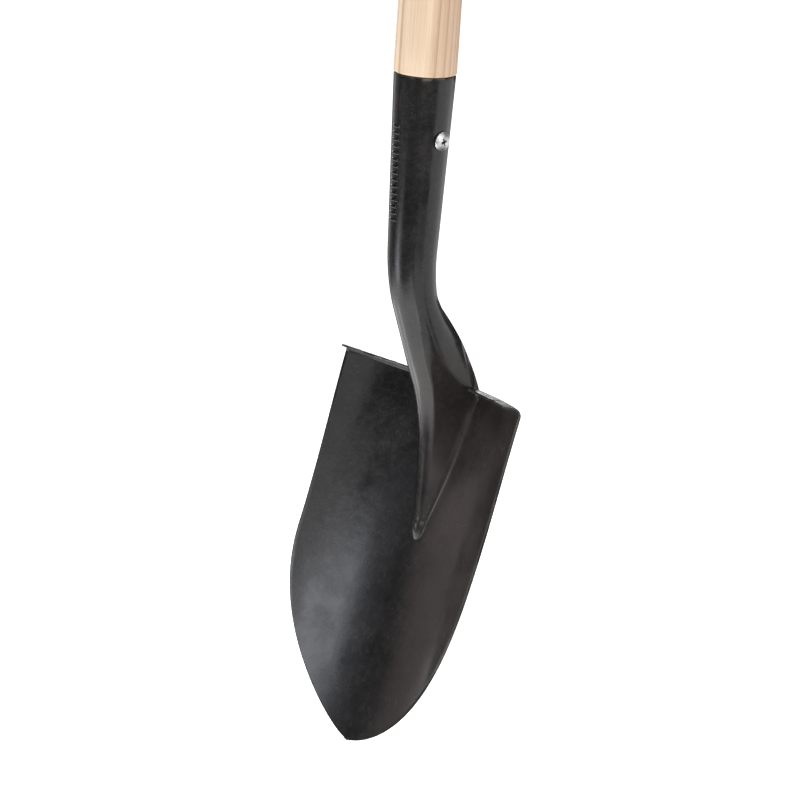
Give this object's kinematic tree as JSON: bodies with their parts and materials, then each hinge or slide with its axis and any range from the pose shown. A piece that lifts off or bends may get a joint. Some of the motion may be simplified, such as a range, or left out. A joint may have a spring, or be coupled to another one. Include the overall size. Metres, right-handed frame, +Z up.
{
  "type": "garden spade",
  "caption": "Long-handled garden spade with a pressed black steel blade, a rounded point, treads turned forward and a round ash shaft held in the socket by a screw.",
  "frame": {"origin": "on the centre line of the shaft, 0.80 m above the rim of the socket and 0.25 m below the butt, where a wall clip grips it", "axes": "+Z up the shaft towards its butt, with the blade down; the hollow front of the blade faces -Y; +X is to the right"},
  "size_m": [0.1886, 0.0781, 1.5088],
  "materials": {
    "black_paint": "semi-gloss black paint with a fine orange-peel texture",
    "ash_wood": "sanded pale ash with fine long grain, thinly oiled",
    "zinc_plate": "bright zinc plate"
  },
  "bodies": {
    "root": {"steel_head": "black_paint", "shaft": "ash_wood", "socket_screw": "zinc_plate"}
  },
  "joints": []
}
